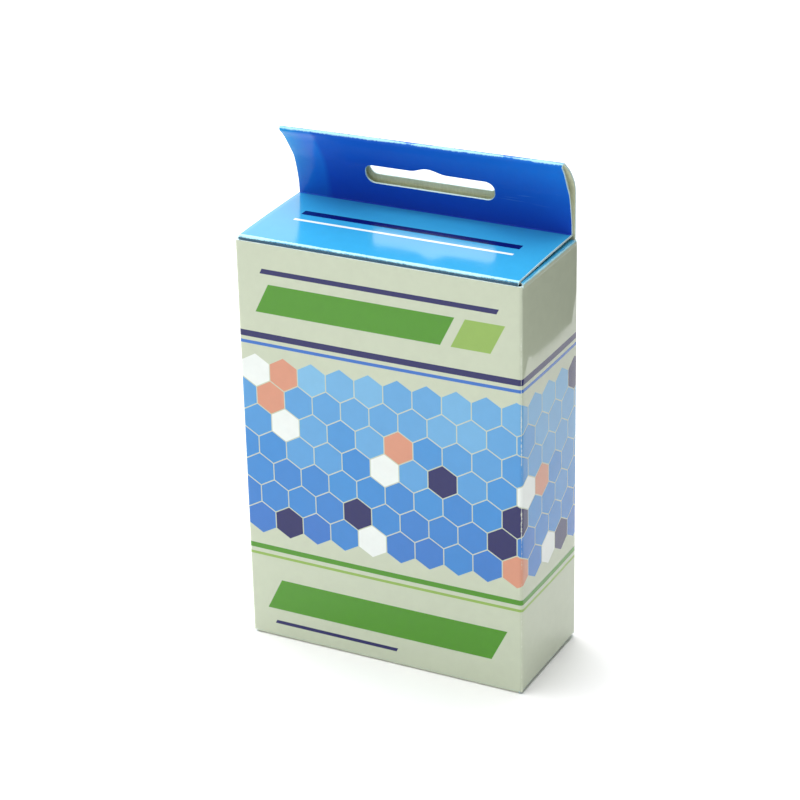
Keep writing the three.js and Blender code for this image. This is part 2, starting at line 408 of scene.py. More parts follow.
def blendColour(tree, factor, below, above, mode="MIX"):
    node = addNode(tree, "ShaderNodeMix", data_type="RGBA", blend_type=mode)
    linkOrSet(tree, node.inputs[0], factor)
    linkOrSet(tree, node.inputs[6], below)
    linkOrSet(tree, node.inputs[7], above)
    return node.outputs[2]


def noise(tree, vector, scale, detail=2.0, roughness=0.5):
    node = addNode(tree, "ShaderNodeTexNoise")
    linkOrSet(tree, node.inputs["Vector"], vector)
    linkOrSet(tree, node.inputs["Scale"], scale)
    node.inputs["Detail"].default_value = detail
    node.inputs["Roughness"].default_value = roughness
    return node.outputs["Fac"]


def rescale(tree, value, low, high, newLow=0.0, newHigh=1.0):
    node = addNode(tree, "ShaderNodeMapRange")
    for socket, given in zip(node.inputs, (value, low, high, newLow, newHigh)):
        linkOrSet(tree, socket, given)
    return node.outputs["Result"]


printEdge = 0.07 * mm  # how soft the edge of a printed shape is


def above(tree, value, limit, soft=printEdge):
    return calc(tree, "MULTIPLY_ADD", value, 1 / soft, 0.5 - limit / soft, clamp=True)


def below(tree, value, limit, soft=printEdge):
    return calc(tree, "MULTIPLY_ADD", value, -1 / soft, 0.5 + limit / soft, clamp=True)


def between(tree, value, low, high, soft=printEdge):
    return calc(tree, "MULTIPLY", above(tree, value, low, soft), below(tree, value, high, soft))


def both(tree, *masks):
    result = masks[0]
    for mask in masks[1:]:
        result = calc(tree, "MULTIPLY", result, mask)
    return result


def readAttribute(tree, name):
    node = addNode(tree, "ShaderNodeAttribute", attribute_type="GEOMETRY", attribute_name=name)
    parts = addNode(tree, "ShaderNodeSeparateXYZ")
    tree.links.new(node.outputs["Vector"], parts.inputs[0])
    return parts.outputs


def objectPoint(tree):
    return addNode(tree, "ShaderNodeTexCoord").outputs["Object"]


def newGroup(name, inputs, outputs):
    # inputs: name and value, a number or a colour. outputs: name and socket type.
    tree = bpy.data.node_groups.new(name, "ShaderNodeTree")
    for label, value in inputs.items():
        kind = "NodeSocketFloat" if isinstance(value, (int, float)) else "NodeSocketColor"
        tree.interface.new_socket(name=label, in_out="INPUT", socket_type=kind).default_value = value
    for label, kind in outputs.items():
        tree.interface.new_socket(name=label, in_out="OUTPUT", socket_type=kind)
    given = addNode(tree, "NodeGroupInput")
    result = addNode(tree, "NodeGroupOutput")
    return tree, given.outputs, result.inputs


def useGroup(tree, group, **values):
    node = addNode(tree, "ShaderNodeGroup", node_tree=group)
    for label, value in values.items():
        linkOrSet(tree, node.inputs[label], value)
    return node.outputs


foldRub = {
    "grainScale": 1500.0,
    "grainShare": 0.6,
    "patchScale": 120.0,
    "start": 0.78,  # level at which the ink begins to go
}
edgeRub = 0.28 * mm  # how far in from a cut edge the ink has rubbed


def foldWearGroup():
    # Ink that has cracked along the folds and rubbed off at the cut edges
    tree, given, result = newGroup(
        "foldWear",
        {"Fold": 1.0, "Edge": 1.0, "FoldWidth": 0.5 * mm, "EdgeWidth": edgeRub, "Amount": 0.5},
        {"Mask": "NodeSocketFloat"})
    point = objectPoint(tree)
    grain = noise(tree, point, foldRub["grainScale"], 4.0, 0.7)
    patches = noise(tree, point, foldRub["patchScale"])
    nearness = []
    for name in ("Fold", "Edge"):
        away = calc(tree, "DIVIDE", given[name], given[name + "Width"])
        nearness.append(calc(tree, "SUBTRACT", 1.0, away, clamp=True))
    near = calc(tree, "MAXIMUM", *nearness)
    level = calc(tree, "MULTIPLY", near, calc(tree, "ADD", patches, given["Amount"]))
    level = calc(tree, "ADD", level, calc(tree, "MULTIPLY", grain, foldRub["grainShare"]))
    mask = rescale(tree, level, foldRub["start"], 1.0)
    tree.links.new(mask, result["Mask"])
    return tree


film = {
    # name of the group's input, noise scale, noise detail, height of the relief
    "relief": (
        ("Wave", 55.0, 1.0, 0.12 * mm),
        ("Peel", 700.0, 2.0, 0.004 * mm),
        ("Wear", 2600.0, 2.0, 0.03 * mm),
    ),
    "smearScale": 90.0,
    "smear": (-0.02, 0.03),  # less or more rough
    "wornRoughness": 0.4,
    "toneScale": 420.0,
    "tone": (0.975, 1.025),
}


def varnishGroup():
    # The gloss film over the print: its roughness, and a surface that is never quite flat
    tree, given, result = newGroup(
        "varnish",
        {"Roughness": 0.2, "Wave": 1.0, "Peel": 1.0, "Wear": 0.0},
        {"Roughness": "NodeSocketFloat", "Normal": "NodeSocketVector", "Tone": "NodeSocketFloat"})
    point = objectPoint(tree)
    total = 0.0
    for name, scale, detail, relief in film["relief"]:
        amount = calc(tree, "MULTIPLY", noise(tree, point, scale, detail), given[name])
        total = calc(tree, "ADD", total, calc(tree, "MULTIPLY", amount, relief))
    bump = addNode(tree, "ShaderNodeBump")
    bump.inputs["Strength"].default_value = 1.0
    bump.inputs["Distance"].default_value = 1.0
    tree.links.new(total, bump.inputs["Height"])
    tree.links.new(bump.outputs[0], result["Normal"])
    smears = rescale(tree, noise(tree, point, film["smearScale"], 3.0), 0.3, 0.7, *film["smear"])
    roughness = calc(tree, "ADD", given["Roughness"], smears)
    roughness = calc(tree, "MULTIPLY_ADD", given["Wear"], film["wornRoughness"], roughness, clamp=True)
    tree.links.new(roughness, result["Roughness"])
    tone = rescale(tree, noise(tree, point, film["toneScale"], 4.0, 0.6), 0.25, 0.75, *film["tone"])
    tree.links.new(tone, result["Tone"])
    return tree


def hexCellGroup():
    # A field of hexagons standing on a point: how far in from a cell's rim, and the cell's height
    tree, given, result = newGroup(
        "hexCells",
        {"Across": 0.0, "Up": 0.0, "Cell": 6 * mm},
        {label: "NodeSocketFloat" for label in ("Inside", "Random", "Second", "CellUp")})
    rowRatio = math.sqrt(3)
    lead = (60.0, 60.0 * rowRatio)  # keeps the remainder positive
    point = addNode(tree, "ShaderNodeCombineXYZ")
    for i, name in enumerate(("Across", "Up")):
        inCells = calc(tree, "DIVIDE", given[name], given["Cell"])
        tree.links.new(calc(tree, "ADD", inCells, lead[i]), point.inputs[i])
    tile, half = (1.0, rowRatio, 1.0), (0.5, rowRatio / 2, 0.5)
    flat = (1.0, 1.0, 0.0)
    # Two grids of centres, half a tile apart: the nearer centre is the cell's own
    first = vectorCalc(tree, "SUBTRACT", vectorCalc(tree, "MODULO", point.outputs[0], tile), half)
    first = vectorCalc(tree, "MULTIPLY", first, flat)
    moved = vectorCalc(tree, "SUBTRACT", point.outputs[0], half)
    second = vectorCalc(tree, "SUBTRACT", vectorCalc(tree, "MODULO", moved, tile), half)
    second = vectorCalc(tree, "MULTIPLY", second, flat)
    lengths = [vectorCalc(tree, "LENGTH", offset) for offset in (second, first)]
    nearer = calc(tree, "LESS_THAN", *lengths)
    pick = addNode(tree, "ShaderNodeMix", data_type="VECTOR")
    linkOrSet(tree, pick.inputs[0], nearer)
    linkOrSet(tree, pick.inputs[4], first)
    linkOrSet(tree, pick.inputs[5], second)
    local = pick.outputs[1]
    parts = addNode(tree, "ShaderNodeSeparateXYZ")
    tree.links.new(local, parts.inputs[0])
    across = calc(tree, "ABSOLUTE", parts.outputs[0])
    up = calc(tree, "ABSOLUTE", parts.outputs[1])
    slanted = calc(tree, "MULTIPLY_ADD", up, rowRatio / 2, calc(tree, "MULTIPLY", across, 0.5))
    rim = calc(tree, "MAXIMUM", slanted, across)
    tree.links.new(calc(tree, "SUBTRACT", 0.5, rim), result["Inside"])
    centre = vectorCalc(tree, "SUBTRACT", point.outputs[0], local)
    whole = vectorCalc(tree, "MULTIPLY", centre, (2.0, 2.0 / rowRatio, 0.0))
    whole = vectorCalc(tree, "FLOOR", vectorCalc(tree, "ADD", whole, (0.5, 0.5, 0.0)))
    for label, offset in (("Random", 0.0), ("Second", 31.0)):
        chance = addNode(tree, "ShaderNodeTexWhiteNoise", noise_dimensions="2D")
        tree.links.new(vectorCalc(tree, "ADD", whole, (offset, offset, 0.0)), chance.inputs["Vector"])
        tree.links.new(chance.outputs["Value"], result[label])
    place = addNode(tree, "ShaderNodeSeparateXYZ")
    tree.links.new(centre, place.inputs[0])
    cellUp = calc(tree, "SUBTRACT", place.outputs[1], lead[1])
    tree.links.new(calc(tree, "MULTIPLY", cellUp, given["Cell"]), result["CellUp"])
    return tree


foldWear = foldWearGroup()
varnish = varnishGroup()
hexCells = hexCellGroup()


# Materials

def newMaterial(name):
    material = bpy.data.materials.new(name)
    material.use_nodes = True
    tree = material.node_tree
    shader = tree.nodes["Principled BSDF"]
    return material, tree, shader


def printedFinish(tree, shader, printed, gloss, foldWidth, amount, wornAndHighlight):
    # Puts the ink under its varnish, with the wear that folds and edges have; on the blue prints that worn colour is
    # partly a painted highlight on the folds
    distance = readAttribute(tree, "wear")
    rubbed = useGroup(tree, foldWear, Fold=distance[0], Edge=distance[1],
                      FoldWidth=foldWidth, EdgeWidth=edgeRub, Amount=amount)["Mask"]
    coat = useGroup(tree, varnish, Roughness=gloss["roughness"], Wave=gloss["wave"],
                    Peel=gloss["peel"], Wear=rubbed)
    toned = blendColour(tree, 1.0, printed, coat["Tone"], mode="MULTIPLY")
    final = blendColour(tree, rubbed, toned, ink[wornAndHighlight])
    tree.links.new(final, shader.inputs["Base Color"])
    tree.links.new(coat["Roughness"], shader.inputs["Roughness"])
    tree.links.new(coat["Normal"], shader.inputs["Normal"])
    shader.inputs["IOR"].default_value = gloss["ior"]
    shader.inputs["Specular IOR Level"].default_value = gloss["specular"]


def fibreFinish(tree, shader, base, fibres, finish):
    # Matt board with its fibres raised a little
    tree.links.new(base, shader.inputs["Base Color"])
    shader.inputs["Roughness"].default_value = finish["roughness"]
    bump = addNode(tree, "ShaderNodeBump")
    bump.inputs["Distance"].default_value = 1.0
    tree.links.new(calc(tree, "MULTIPLY", fibres, finish["relief"]), bump.inputs["Height"])
    tree.links.new(bump.outputs[0], shader.inputs["Normal"])


panelDesign = {
    "gloss": {"roughness": 0.05, "wave": 0.7, "peel": 0.5, "ior": 1.52, "specular": 0.5},
    "cell": 7.2 * mm,
    "cellGap": 0.035,  # share of a cell
    "fieldLow": 27 * mm,
    "fieldHigh": 71 * mm,
    "ragged": 5 * mm,  # how uneven the field's edges are
    "toneShares": (0.75, 0.3),  # how much a cell's tone follows its height, and how much chance
    # cells in another ink: the random value, its test and limit, and the ink
    "oddCells": (
        ("Random", "GREATER_THAN", 0.93, "white"),
        ("Second", "GREATER_THAN", 0.94, "peach"),
        ("Random", "LESS_THAN", 0.055, "navy"),
    ),
    # in mm: low edge, thickness, ink
    "rules": ((76.6, 1.5, "navy"), (74.9, 0.8, "mid"), (22.9, 1.3, "green"), (21.2, 0.7, "leaf")),
    # in mm: left, right, low and high edges of the bars on the front, and their ink
    "bars": (
        (6, 52, 83, 90, "green"),
        (6, 64, 92.4, 93.6, "navy"),
        (54.5, 64, 83, 90, "leaf"),
        (6, 64, 7.5, 15.5, "green"),
        (6, 38, 3.6, 4.5, "navy"),
    ),
    "slant": 0.5,  # how far a bar's end leans for each step up
    "fold": 0.4 * mm,
    "wear": 0.1,
}


def panelPrintMaterial(design):
    # The blank's print: blank X runs round the carton from the front's left fold, blank Y up
    material, tree, shader = newMaterial("panelPrint")
    place = readAttribute(tree, "blank")
    x, z = place[0], place[1]
    result = ink["ground"]
    leaning = calc(tree, "MULTIPLY_ADD", z, -design["slant"], x)
    onFront = between(tree, x, 0.0, frontRun)
    onShown = between(tree, x, -sideRun, frontRun + sideRun)

    # The blue field, made of hexagons, runs across the front and on round both sides
    cells = useGroup(tree, hexCells, Across=x, Up=z, Cell=design["cell"])
    shape = above(tree, calc(tree, "MULTIPLY", cells["Inside"], design["cell"]),
                  design["cellGap"] * design["cell"] / 2)
    ragged = calc(tree, "MULTIPLY", calc(tree, "SUBTRACT", cells["Random"], 0.5), design["ragged"])
    level = calc(tree, "ADD", cells["CellUp"], ragged)
    inField = between(tree, level, design["fieldLow"], design["fieldHigh"], 0.01 * mm)
    ramp = addNode(tree, "ShaderNodeValToRGB")
    stops = ramp.color_ramp
    stops.interpolation = "LINEAR"
    stops.elements[0].position, stops.elements[0].color = 0.0, ink["mid"]
    stops.elements[1].position, stops.elements[1].color = 1.0, ink["pale"]
    stops.elements.new(0.45).color = ink["field"]
    byHeight, byChance = design["toneShares"]
    fade = rescale(tree, cells["CellUp"], design["fieldLow"], design["fieldHigh"])
    fade = calc(tree, "MULTIPLY", fade, byHeight)
    fade = calc(tree, "MULTIPLY_ADD", cells["Second"], byChance, fade, clamp=True)
    tree.links.new(fade, ramp.inputs[0])
    cellColour = ramp.outputs["Color"]
    for chance, test, limit, name in design["oddCells"]:
        chosen = calc(tree, test, cells[chance], limit)
        cellColour = blendColour(tree, chosen, cellColour, ink[name])
    result = blendColour(tree, both(tree, shape, inField, onShown), result, cellColour)

    # Straight rules above and below the field, all round
    for low, thick, name in design["rules"]:
        rule = both(tree, between(tree, z, low * mm, (low + thick) * mm), onShown)
        result = blendColour(tree, rule, result, ink[name])

    # Bars with slanted ends on the front
    for left, right, low, high, name in design["bars"]:
        lean = design["slant"] * (low + high) / 2
        bar = both(tree, between(tree, leaning, (left - lean) * mm, (right - lean) * mm),
                   between(tree, z, low * mm, high * mm), onFront)
        result = blendColour(tree, bar, result, ink[name])
    printedFinish(tree, shader, result, design["gloss"], design["fold"], design["wear"], "rubbed")
    return material


topDesign = {
    "gloss": {"roughness": 0.13, "wave": 1.0, "peel": 0.8, "ior": 1.62, "specular": 0.5},
    "tabSpecular": 0.1,
    "paintedLightRise": 17 * mm,  # the tab's blue is painted lightest this far up from the valley, where light falls on it
    # painted reflection at the tab's left end and top left corner, and painted light towards its right end
    "paintedReflectionLeft": (-25 * mm, -27 * mm),
    "paintedReflectionCorner": (-29 * mm, -34 * mm),
    "paintedLightRight": (-10 * mm, 34 * mm),
    "paintedLightShares": {"up": 0.35, "left": (0.3, 0.6), "right": 0.4, "corner": 0.75},
    "overrun": 0.7 * mm,  # how far the tab's ink carries on past the valley
    # in mm from there: start, thickness, ink
    "rules": ((9.5, 2.2, "navy"), (14.4, 0.9, "white")),
    "ruleHalf": 27 * mm,
    "turnSoft": 0.6 * mm,  # how softly the tab's ink passes to the lid's
    "scratchGrain": (60.0, 60.0, 1400.0),
    "scratchLevel": (0.62, 0.7),
    "scratchAcross": (14 * mm, 36 * mm, 6 * mm),  # from, to, softness
    "scratchUp": (12 * mm, 7.5 * mm, 2 * mm),
    "scratches": 0.45,
    "fold": 0.56 * mm,
    "wear": 0.36,
}


def topPrintMaterial(name, specular, design, valley, nose):
    # Blank X runs across, blank Y along the sheet: up the back, over the top and down to the lid
    material, tree, shader = newMaterial(name)
    place = readAttribute(tree, "blank")
    x, t = place[0], place[1]
    valley += design["overrun"]
    onLid = above(tree, t, valley, design["turnSoft"])
    # Painted light and reflection on the tab: its blue is painted lighter towards its top fold and its right end, where
    # light falls, and lighter at its left end and top left corner as a painted reflection
    paintedLightShares = design["paintedLightShares"]
    upward = rescale(tree, t, valley, valley - design["paintedLightRise"])
    leftBase, leftRise = paintedLightShares["left"]
    paintedReflectionLeftward = rescale(tree, x, *design["paintedReflectionLeft"])
    paintedReflectionLeftward = calc(tree, "MULTIPLY", paintedReflectionLeftward, calc(tree, "MULTIPLY_ADD", upward, leftRise, leftBase))
    paintedLight = calc(tree, "MAXIMUM", calc(tree, "MULTIPLY", upward, paintedLightShares["up"]), paintedReflectionLeftward)
    paintedLightRightward = rescale(tree, x, *design["paintedLightRight"], 0.0, paintedLightShares["right"])
    paintedLight = calc(tree, "MULTIPLY_ADD", upward, paintedLightRightward, paintedLight, clamp=True)
    royal = blendColour(tree, paintedLight, ink["royal"], ink["tabPaintedLight"])
    # Painted reflection: a pale patch at the tab's top left corner
    corner = rescale(tree, x, *design["paintedReflectionCorner"], 0.0, paintedLightShares["corner"])
    royal = blendColour(tree, calc(tree, "MULTIPLY", upward, corner), royal, ink["tabPaintedReflection"])
    result = blendColour(tree, onLid, royal, ink["sky"])
    # Two plain rules on the lid
    onRule = between(tree, x, -design["ruleHalf"], design["ruleHalf"])
    for low, thick, name in design["rules"]:
        rule = between(tree, t, valley + low * mm, valley + (low + thick) * mm)
        result = blendColour(tree, both(tree, rule, onRule), result, ink[name])
    # Fine scratches on the tab's front, beside the slot
    stretched = vectorCalc(tree, "MULTIPLY", objectPoint(tree), design["scratchGrain"])
    streaks = rescale(tree, noise(tree, stretched, 1.0, 3.0), *design["scratchLevel"])
    upper, lower, soft = design["scratchUp"]
    there = both(tree, between(tree, x, *design["scratchAcross"]),
                 between(tree, t, valley - upper, valley - lower, soft))
    scratched = calc(tree, "MULTIPLY", both(tree, streaks, there), design["scratches"])
    result = blendColour(tree, scratched, result, ink["pale"])
    # Painted shade: the underside of the lid's front fold is painted dark teal, down into the crease, for the shadowed
    # gap above the front panel
    result = blendColour(tree, above(tree, t, nose, 0.2 * mm), result, ink["crease"])
    gloss = {**design["gloss"], "specular": specular}
    printedFinish(tree, shader, result, gloss, design["fold"], design["wear"], "wornAndHighlight")
    return material


flapDesign = {
    "fold": 0.42 * mm,
    "wear": 0.28,
    "crease": 100 * mm,  # blank Y at which the tuck flap carries on from the lid
    "paintedCreaseShade": 0.6 * mm,  # how much further the painted shade of the crease reaches
}


def flapPrintMaterial():
    # Dust flaps and tuck flap. Blank Y runs along the flap: the blue starts on its fold.
    material, tree, shader = newMaterial("flapPrint")
    place = readAttribute(tree, "blank")
    result = blendColour(tree, above(tree, place[1], 0.0), ink["ground"], ink["sky"])
    # Painted shade: the tuck flap's start, in the gap under the lid's front fold, is painted dark teal
    low, high = flapDesign["crease"] - 1 * mm, flapDesign["crease"] + flapDesign["paintedCreaseShade"]
    paintedCreaseShade = between(tree, place[1], low, high, 0.2 * mm)
    result = blendColour(tree, paintedCreaseShade, result, ink["crease"])
    printedFinish(tree, shader, result, topDesign["gloss"],
                  flapDesign["fold"], flapDesign["wear"], "wornAndHighlight")
    return material


bareFinish = {
    "fibreScale": 1600.0,
    "cloudScale": 160.0,
    "fibreShare": 0.6,
    "stretch": (1.0, 1.0, 0.35),  # the fibres run upwards
    "tones": (colour(192, 200, 166), colour(224, 230, 200)),
    "roughness": 0.85,
    "relief": 0.012 * mm,
}


def bareBoardMaterial():
    # The unprinted side: pressed fibres, matt and slightly uneven
    material, tree, shader = newMaterial("bareBoard")
    point = objectPoint(tree)
    stretched = vectorCalc(tree, "MULTIPLY", point, bareFinish["stretch"])
    fibres = noise(tree, stretched, bareFinish["fibreScale"], 5.0, 0.65)
    clouds = noise(tree, point, bareFinish["cloudScale"], 3.0)
    clouds = calc(tree, "MULTIPLY", clouds, 1 - bareFinish["fibreShare"])
    tone = calc(tree, "MULTIPLY_ADD", fibres, bareFinish["fibreShare"], clouds)
    base = blendColour(tree, rescale(tree, tone, 0.3, 0.7), *bareFinish["tones"])
    fibreFinish(tree, shader, base, fibres, bareFinish)
    return material


edgeFinish = {
    "fibreScale": 2400.0,
    "tones": (colour(176, 216, 222), colour(238, 248, 246)),
    "roughness": 0.8,
    "relief": 0.02 * mm,
}


def cutEdgeMaterial():
    # The board's own layers along a cut
    material, tree, shader = newMaterial("cutEdge")
    fibres = noise(tree, objectPoint(tree), edgeFinish["fibreScale"], 4.0, 0.7)
    base = blendColour(tree, fibres, *edgeFinish["tones"])
    fibreFinish(tree, shader, base, fibres, edgeFinish)
    return material


# The tab and lid: one sheet from the back panel's top edge to the lid's front fold

tab = {
    "rise": tabTop - height - 0.65 * mm,  # side folds to the middle of the top fold
    "lean": 7.3 * mm,  # the top fold stands this far in front of the back panel
    "twist": 1.15 * mm,  # how much further forward its left end is
    "curl": 0.5 * mm,  # and the left corner again
    "topRadius": 0.4 * mm,
    "parting": 1.0 * mm,  # between the plies at the foot
    "backSlope": 32,
    "frontSlope": 64,
    "slotLength": 32 * mm,
    "slotHeight": 4.9 * mm,
    "slotEnd": 2.2 * mm,
    "humpWidth": 9 * mm,
    "humpHeight": 1.3 * mm,
    "slotFromFold": 11.2 * mm,
    "columns": 44,
    "valleyRadius": 0.35 * mm,
    "lidCrown": 0.12 * mm,
    "noseEnd": 155,  # degrees, where the lid's front fold passes to the tuck flap
    # both plies from the foot up: share of the rise, share of the lean
    "backRows": ((0, 0), (0.3, 0.01), (0.56, 0.04), (0.67, 0.11), (0.77, 0.28),
                 (0.87, 0.5), (0.95, 0.75)),
    "frontRows": ((0.21, 0.03), (0.34, 0.1), (0.5, 0.21), (0.59, 0.3), (0.69, 0.47),
                  (0.81, 0.68), (0.9, 0.84)),
    "plySteps": 22,
    "wave": 0.1 * mm,  # the front ply isn't quite flat
    "rim": 0.35 * mm,  # round the slots, kept free of the grid's points
    "partingHalf": 0.35 * mm,  # the bend between tab and lid reaches this far from the hinge
    # the lid's front fold, in shares of its turn
    "paintedShadeFrom": 0.84,  # its underside carries painted shade from here
    "rubAt": 0.4,  # its wear and painted highlight are strongest here
    "rubNarrow": 0.7,  # below 1: over a wider strip than the top fold, so that the pale band is also a painted highlight on the fold
}


def tabAndLidPath():
    # The side view in y and z, and how far along it each part ends
    middle = halfDepth - board / 2
    top = (middle - tab["lean"], height + tab["rise"])
    lidFold, noseCentre = hinge["lid_hinge"], hinge["tuck_hinge"]
    backLine = [(middle - lean * tab["lean"], height + up * tab["rise"])
                for up, lean in tab["backRows"]]
    spare = tab["lean"] - tab["parting"]
    frontLine = [(middle - tab["parting"] - lean * spare, height + up * tab["rise"])
                 for up, lean in tab["frontRows"]]
    topArc = arcPoints(top, tab["topRadius"], 90 - tab["backSlope"], 270 - tab["frontSlope"], 14)
    valleyCentre = (middle - tab["parting"] - tab["valleyRadius"],
                    lidFold.z - board / 2 + tab["valleyRadius"])
    valleyArc = arcPoints(valleyCentre, tab["valleyRadius"], 0, -90, 6)
    noseArc = arcPoints((noseCentre.y, noseCentre.z), midRadius, 90, tab["noseEnd"])
    lid = straight(valleyArc[-1], noseArc[0], 1.3 * mm)
    back = throughPoints([*backLine, topArc[0]], tab["plySteps"])
    front = throughPoints([valleyArc[0], *frontLine, topArc[-1]], tab["plySteps"])
    return joined(back, topArc, front[::-1], valleyArc, lid, noseArc)


def slotPoints(centre, towardsFold):
    # The hang slot in the flat sheet: (along, across)
    half, top, end = tab["slotLength"] / 2, tab["slotHeight"] / 2, tab["slotEnd"]
    hump = []
    for i in range(13):
        share = i / 12
        rise = tab["humpHeight"] * (1 - math.cos(2 * math.pi * share)) / 2
        hump.append((tab["humpWidth"] * (0.5 - share), top + rise))
    outline = [
        *arcPoints((half - end, top - end), end, 0, 90, 7), *hump,
        *arcPoints((-half + end, top - end), end, 90, 180, 7),
        *arcPoints((-half + end, -top + end), end, 180, 270, 7),
        *arcPoints((half - end, -top + end), end, 270, 360, 7),
    ]
    return [(centre + towardsFold * up, across) for across, up in outline]


def distanceToLoop(points, loop):
    # From each point to the nearest side of a closed loop, and whether it lies inside
    a = np.array(loop)
    b = np.roll(a, -1, axis=0)
    side = b - a
    offset = points[:, None, :] - a[None]
    share = np.clip((offset * side).sum(2) / np.maximum((side ** 2).sum(1), 1e-18), 0, 1)
    nearest = np.linalg.norm(offset - share[..., None] * side, axis=2).min(1)
    p, q = points[:, None, :], a[None]
    crossing = ((q[..., 1] > p[..., 1]) != (b[None, :, 1] > p[..., 1])) & (
        p[..., 0] < (b[None, :, 0] - q[..., 0]) * (p[..., 1] - q[..., 1])
        / np.where(b[None, :, 1] == q[..., 1], 1e-18, b[None, :, 1] - q[..., 1]) + q[..., 0])
    return nearest, crossing.sum(1) % 2 == 1


def makeTabAndLid():
    path, ends = tabAndLidPath()
    rows = alongPath(path)
    backEnd, foldEnd, frontEnd, valleyEnd, lidEnd, noseEnd = ends
    topFold = (backEnd + foldEnd) / 2
    loops = [slotPoints(backEnd - tab["slotFromFold"], 1),
             slotPoints(foldEnd + tab["slotFromFold"], -1)]

    # Points of the flat sheet: a grid that leaves the slots and a rim round them free
    across = np.linspace(-lidHalf, lidHalf, tab["columns"] + 1)
    grid = np.array([(t, x) for t in rows for x in across])
    keep = np.ones(len(grid), bool)
    for loop in loops:
        away, inside = distanceToLoop(grid, loop)
        keep &= ~inside & (away > tab["rim"])
    flat = [tuple(p) for p in grid[keep]]
    edges = []
    for loop in loops:
        first = len(flat)
        seen = [p for i, p in enumerate(loop) if math.dist(p, loop[i - 1]) > 1e-6]
        flat += seen
        edges += [(first + i, first + (i + 1) % len(seen)) for i in range(len(seen))]
    made = delaunay_2d_cdt([Vector(p) / mm for p in flat], edges, [], 0, 1e-4)
    sheet = np.array([tuple(p) for p in made[0]]) * mm
    faces = np.array([tuple(f) for f in made[2]])
    centres = sheet[faces].mean(1)
    hole = np.zeros(len(faces), bool)
    for loop in loops:
        hole |= distanceToLoop(centres, loop)[1]
    faces = faces[~hole]

    # From the flat sheet to its place
    t, x = sheet[:, 0], sheet[:, 1]
    wide = np.interp(t, [0, backEnd, foldEnd, noseEnd], [backPlyHalf, backPlyHalf, lidHalf, lidHalf])
    x = x * wide / lidHalf
    y = np.interp(t, rows, [p[0] for p in path])
    z = np.interp(t, rows, [p[1] for p in path])
    rise = np.clip((z - hinge["lid_hinge"].z) / tab["rise"], 0, 1)
    leftness = np.clip((-x - 0.45 * halfWidth) / (0.55 * halfWidth), 0, 1)
    y = y + tab["twist"] * rise ** 2 * x / halfWidth - tab["curl"] * rise ** 2 * leftness ** 2
    onFront = (t > foldEnd) & (t < frontEnd)
    wave = tab["wave"] * np.sin(x / (6.1 * mm) + 0.6) * np.sin(np.pi * rise)
    y = y + np.where(onFront, wave, 0)
    onLid = np.clip((t - valleyEnd) / (lidEnd - valleyEnd), 0, 1)
    z = z + tab["lidCrown"] * np.sin(np.pi * onLid)
    mesh = bpy.data.meshes.new("tabAndLid")
    mesh.from_pydata(np.column_stack([x, y, z]).tolist(), [], faces.tolist())
    obj = addObject("tabAndLid", mesh)

    turn = noseEnd - lidEnd
    fromNose = tab["rubNarrow"] * abs(t - lidEnd - tab["rubAt"] * turn)
    folds = np.minimum(abs(t - topFold), fromNose)
    edge = wide - abs(x)
    for loop in loops:
        edge = np.minimum(edge, distanceToLoop(np.column_stack([t, x]), loop)[0])
    storeVector(mesh, "blank", x, t)
    storeVector(mesh, "wear", folds, edge)
    # The tab and the lid have one print, under two kinds of gloss
    valley, nose = (frontEnd + valleyEnd) / 2, lidEnd + tab["paintedShadeFrom"] * turn
    lidPrint = topPrintMaterial("lidPrint", topDesign["gloss"]["specular"], topDesign, valley, nose)
    tabPrint = topPrintMaterial("tabPrint", topDesign["tabSpecular"], topDesign, valley, nose)
    onTab = sheet[faces].mean(1)[:, 0] < valley + topDesign["overrun"]
    giveThickness(obj, [lidPrint, bareBoard, cutEdge, tabPrint], second=onTab)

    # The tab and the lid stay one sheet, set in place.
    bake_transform(obj)
    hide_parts("tab_back_ply", "tab_front_ply", "lid_panel")
    report(f"tab and lid, {len(obj.data.polygons)} faces")
    return obj


# The sleeve: glue flap, left side, front, right side and back as one sheet

sleeve = {
    "glueWidth": 11 * mm,
    "glueInset": 0.1 * mm,  # between the glue flap and the back panel
    "spacing": 2.6 * mm,
    "rows": 44,
    "frontTop": 0.5 * mm,  # the front's cut edge lies this much under the side folds
    "flapStart": 0.3 * mm,  # the dust flaps' sheets start this much below their folds
    "lip": 3 * mm,  # how far the side panels turn in at the foot
    "sideFoot": 0.55 * mm,  # the side folds at the foot stand one board clear of the floor
    "bow": {"front": 0.35 * mm, "right": 0.18 * mm, "left": 0.18 * mm, "back": 0.12 * mm},
}


